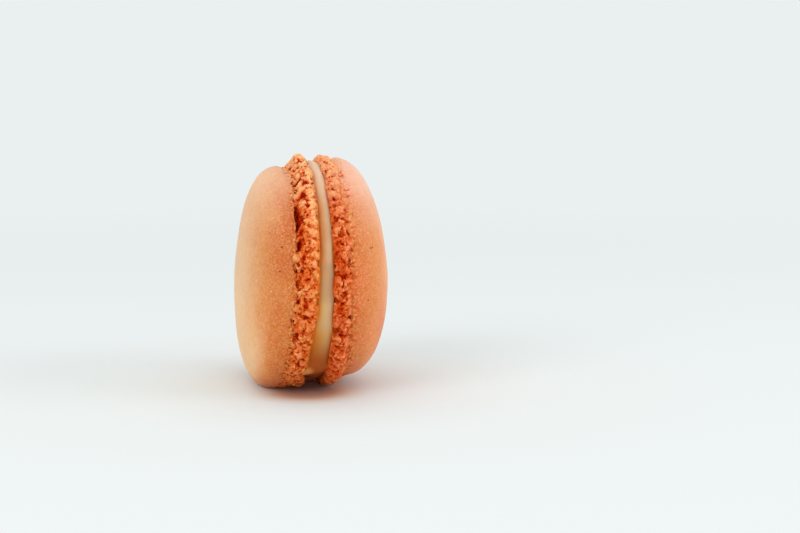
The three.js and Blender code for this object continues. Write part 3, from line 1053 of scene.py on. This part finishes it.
def add_cream():
    """The cream between the shells, with its blob's pale spot by the left face."""
    cream = make_cream("cream")
    blob_place = cream_surface(np.full(1, BLOB["angle"]), np.full(1, 0.1))[0] + AXIS_PLACE
    finish_piece(cream, cream_finish("cream_finish", blob_place), "filling")


# ---- the table and the light, in metres

BACKGROUND = (0.823, 0.871, 0.871, 1.0)
WORLD_GLOW = 0.92
TABLE_RADII = np.array([0.02, 0.06, 0.15, 0.4, 0.8, 1.6, 3.0])
TABLE_SIDES = 96
LIGHT_AIM = (0, 0, 0.023)

# Name, place, width and power of each softbox.
SOFTBOXES = (
    ("key_light", (-0.6, -0.5, 0.5), 0.5, 2.3),
    ("side_light", (0.7, -0.35, 0.35), 0.5, 1.7),
    ("top_light", (0.0, 0.1, 0.9), 0.9, 1.35),
    ("front_light", (0.1, -0.8, 0.12), 0.4, 0.4),
)

# The painted shadow and painted orange light that the macaron throws on the table, in mm: rings of tint round
# a place, and painted deep red light under it.
CONTACT_SHADOW_PLACE = (-2, -10, 0)
CONTACT_SHADOW_REACH = 12
CONTACT_SHADOW_STOPS = [
    (0.25, (0.43, 0.25, 0.19, 1.0)),
    (0.44, (0.54, 0.32, 0.225, 1.0)),
    (0.57, (0.65, 0.47, 0.37, 1.0)),
    (0.69, (0.72, 0.62, 0.535, 1.0)),
    (0.83, (0.755, 0.725, 0.675, 1.0)),
    (1.0, (0.77, 0.787, 0.783, 1.0)),
]
UNDER_BOUNCE_PLACE = (-0.5, 6, 0)
UNDER_BOUNCE_TINT = (0.95, 0.45, 0.22, 1.0)


def table_top():
    """Matt and pale, with painted shadow and orange light where the macaron stands, and far from it the
    surroundings' own colour.
    """
    top = Surface("table_top")
    fade = top.between(top.distance_from((0, 0, 0)), 60, 500)
    # Painted shadow and orange light round the macaron's foot, and painted red light under it.
    top.base = top.ramp(top.times(top.distance_from(CONTACT_SHADOW_PLACE), 1 / CONTACT_SHADOW_REACH), CONTACT_SHADOW_STOPS)
    top.wash(UNDER_BOUNCE_TINT, top.between(top.distance_from(UNDER_BOUNCE_PLACE), 10.0, 4.0))
    top.set(Base_Color=top.base, Roughness=0.7, Specular_IOR_Level=0.0)
    glow = top.add("ShaderNodeEmission")
    glow.inputs["Color"].default_value = BACKGROUND
    both = top.add("ShaderNodeMixShader")
    top.links.new(fade, both.inputs[0])
    top.links.new(top.shader.outputs[0], both.inputs[1])
    top.links.new(glow.outputs[0], both.inputs[2])
    top.links.new(both.outputs[0], top.nodes["Material Output"].inputs["Surface"])
    return top.material


def make_table():
    """A wide flat disc: rings of growing radius round a middle face."""
    turn = np.linspace(0, 2 * np.pi, TABLE_SIDES, endpoint=False)
    ring = np.stack([np.cos(turn), np.sin(turn), np.zeros_like(turn)], axis=-1)
    points = (TABLE_RADII[:, None, None] * ring[None]).reshape(-1, 3)
    index = np.arange(len(points)).reshape(len(TABLE_RADII), -1)
    around = np.roll(index, -1, axis=1)
    quads = np.stack([index[:-1], index[1:], around[1:], around[:-1]], axis=-1).reshape(-1, 4)
    mesh = bpy.data.meshes.new("table")
    mesh.from_pydata(points.tolist(), [], [index[0].tolist()] + quads.tolist())
    mesh.update()
    mesh.materials.append(table_top())
    table = bpy.data.objects.new("table", mesh)
    bpy.context.scene.collection.objects.link(table)


def add_softbox(name, place, size, power):
    """A square area light, aimed at the macaron's middle."""
    data = bpy.data.lights.new(name, "AREA")
    data.size = size
    data.energy = power
    light = bpy.data.objects.new(name, data)
    light.location = place
    light.rotation_euler = (Vector(LIGHT_AIM) - Vector(place)).to_track_quat("-Z", "Y").to_euler()
    bpy.context.scene.collection.objects.link(light)


def make_light():
    """Pale surroundings that show brighter than they shine, and the softboxes round the macaron."""
    world = bpy.data.worlds.new("studio")
    world.use_nodes = True
    nodes = world.node_tree.nodes
    links = world.node_tree.links
    background = nodes["Background"]
    background.inputs["Color"].default_value = BACKGROUND
    seen = nodes.new("ShaderNodeLightPath").outputs["Is Camera Ray"]
    strength = nodes.new("ShaderNodeMapRange")
    links.new(seen, strength.inputs["Value"])
    strength.inputs["To Min"].default_value = WORLD_GLOW
    strength.inputs["To Max"].default_value = 1.0
    links.new(strength.outputs["Result"], background.inputs["Strength"])
    bpy.context.scene.world = world
    for softbox in SOFTBOXES:
        add_softbox(*softbox)


# ---- the camera, in mm, pixels and radians

IMAGE_WIDTH = 800
IMAGE_HEIGHT = 533
SENSOR_WIDTH = 36.0
VIEW_DISTANCE = 300.0
VIEW_YAW = 0.1545
VIEW_PITCH = 0.12
MM_PER_PIXEL = 0.206
AIM_POINT = (1.047, 0.137, 23.2)
AIM_PIXEL = (314.6, 270.9)
AIM_STEPS = 20


def looking(heading, tilt):
    """The direction turned by the heading from +Y and tilted up."""
    return Vector((math.sin(heading) * math.cos(tilt), math.cos(heading) * math.cos(tilt), math.sin(tilt)))


def make_camera():
    """Stand VIEW_DISTANCE from AIM_POINT, and turn step by step until it lands on AIM_PIXEL."""
    focal = VIEW_DISTANCE / MM_PER_PIXEL
    to_camera = -looking(VIEW_YAW, -VIEW_PITCH)
    want_x = (AIM_PIXEL[0] - IMAGE_WIDTH / 2) / focal
    want_y = -(AIM_PIXEL[1] - IMAGE_HEIGHT / 2) / focal
    heading = math.atan2(-to_camera.x, -to_camera.y)
    tilt = math.asin(-to_camera.z)
    for _ in range(AIM_STEPS):
        ahead = looking(heading, tilt)
        right = Vector((math.cos(heading), -math.sin(heading), 0.0))
        up = right.cross(ahead)
        seen = -to_camera
        heading -= want_x - seen.dot(right) / seen.dot(ahead)
        tilt -= want_y - seen.dot(up) / seen.dot(ahead)
    data = bpy.data.cameras.new("camera")
    data.sensor_width = SENSOR_WIDTH
    data.lens = SENSOR_WIDTH * focal / IMAGE_WIDTH
    data.clip_start = 0.01
    camera = bpy.data.objects.new("camera", data)
    turn = Matrix((right, up, -ahead)).transposed().to_4x4()
    place = Vector(AIM_POINT) * 0.001 + to_camera * VIEW_DISTANCE * 0.001
    camera.matrix_world = Matrix.Translation(place) @ turn
    bpy.context.scene.collection.objects.link(camera)
    bpy.context.scene.camera = camera


for label, shell in SHELLS.items():
    add_shell(label, shell)
add_cream()
make_table()
make_light()
make_camera()
bpy.context.scene.view_settings.view_transform = "Standard"
bpy.context.scene.view_settings.look = "None"
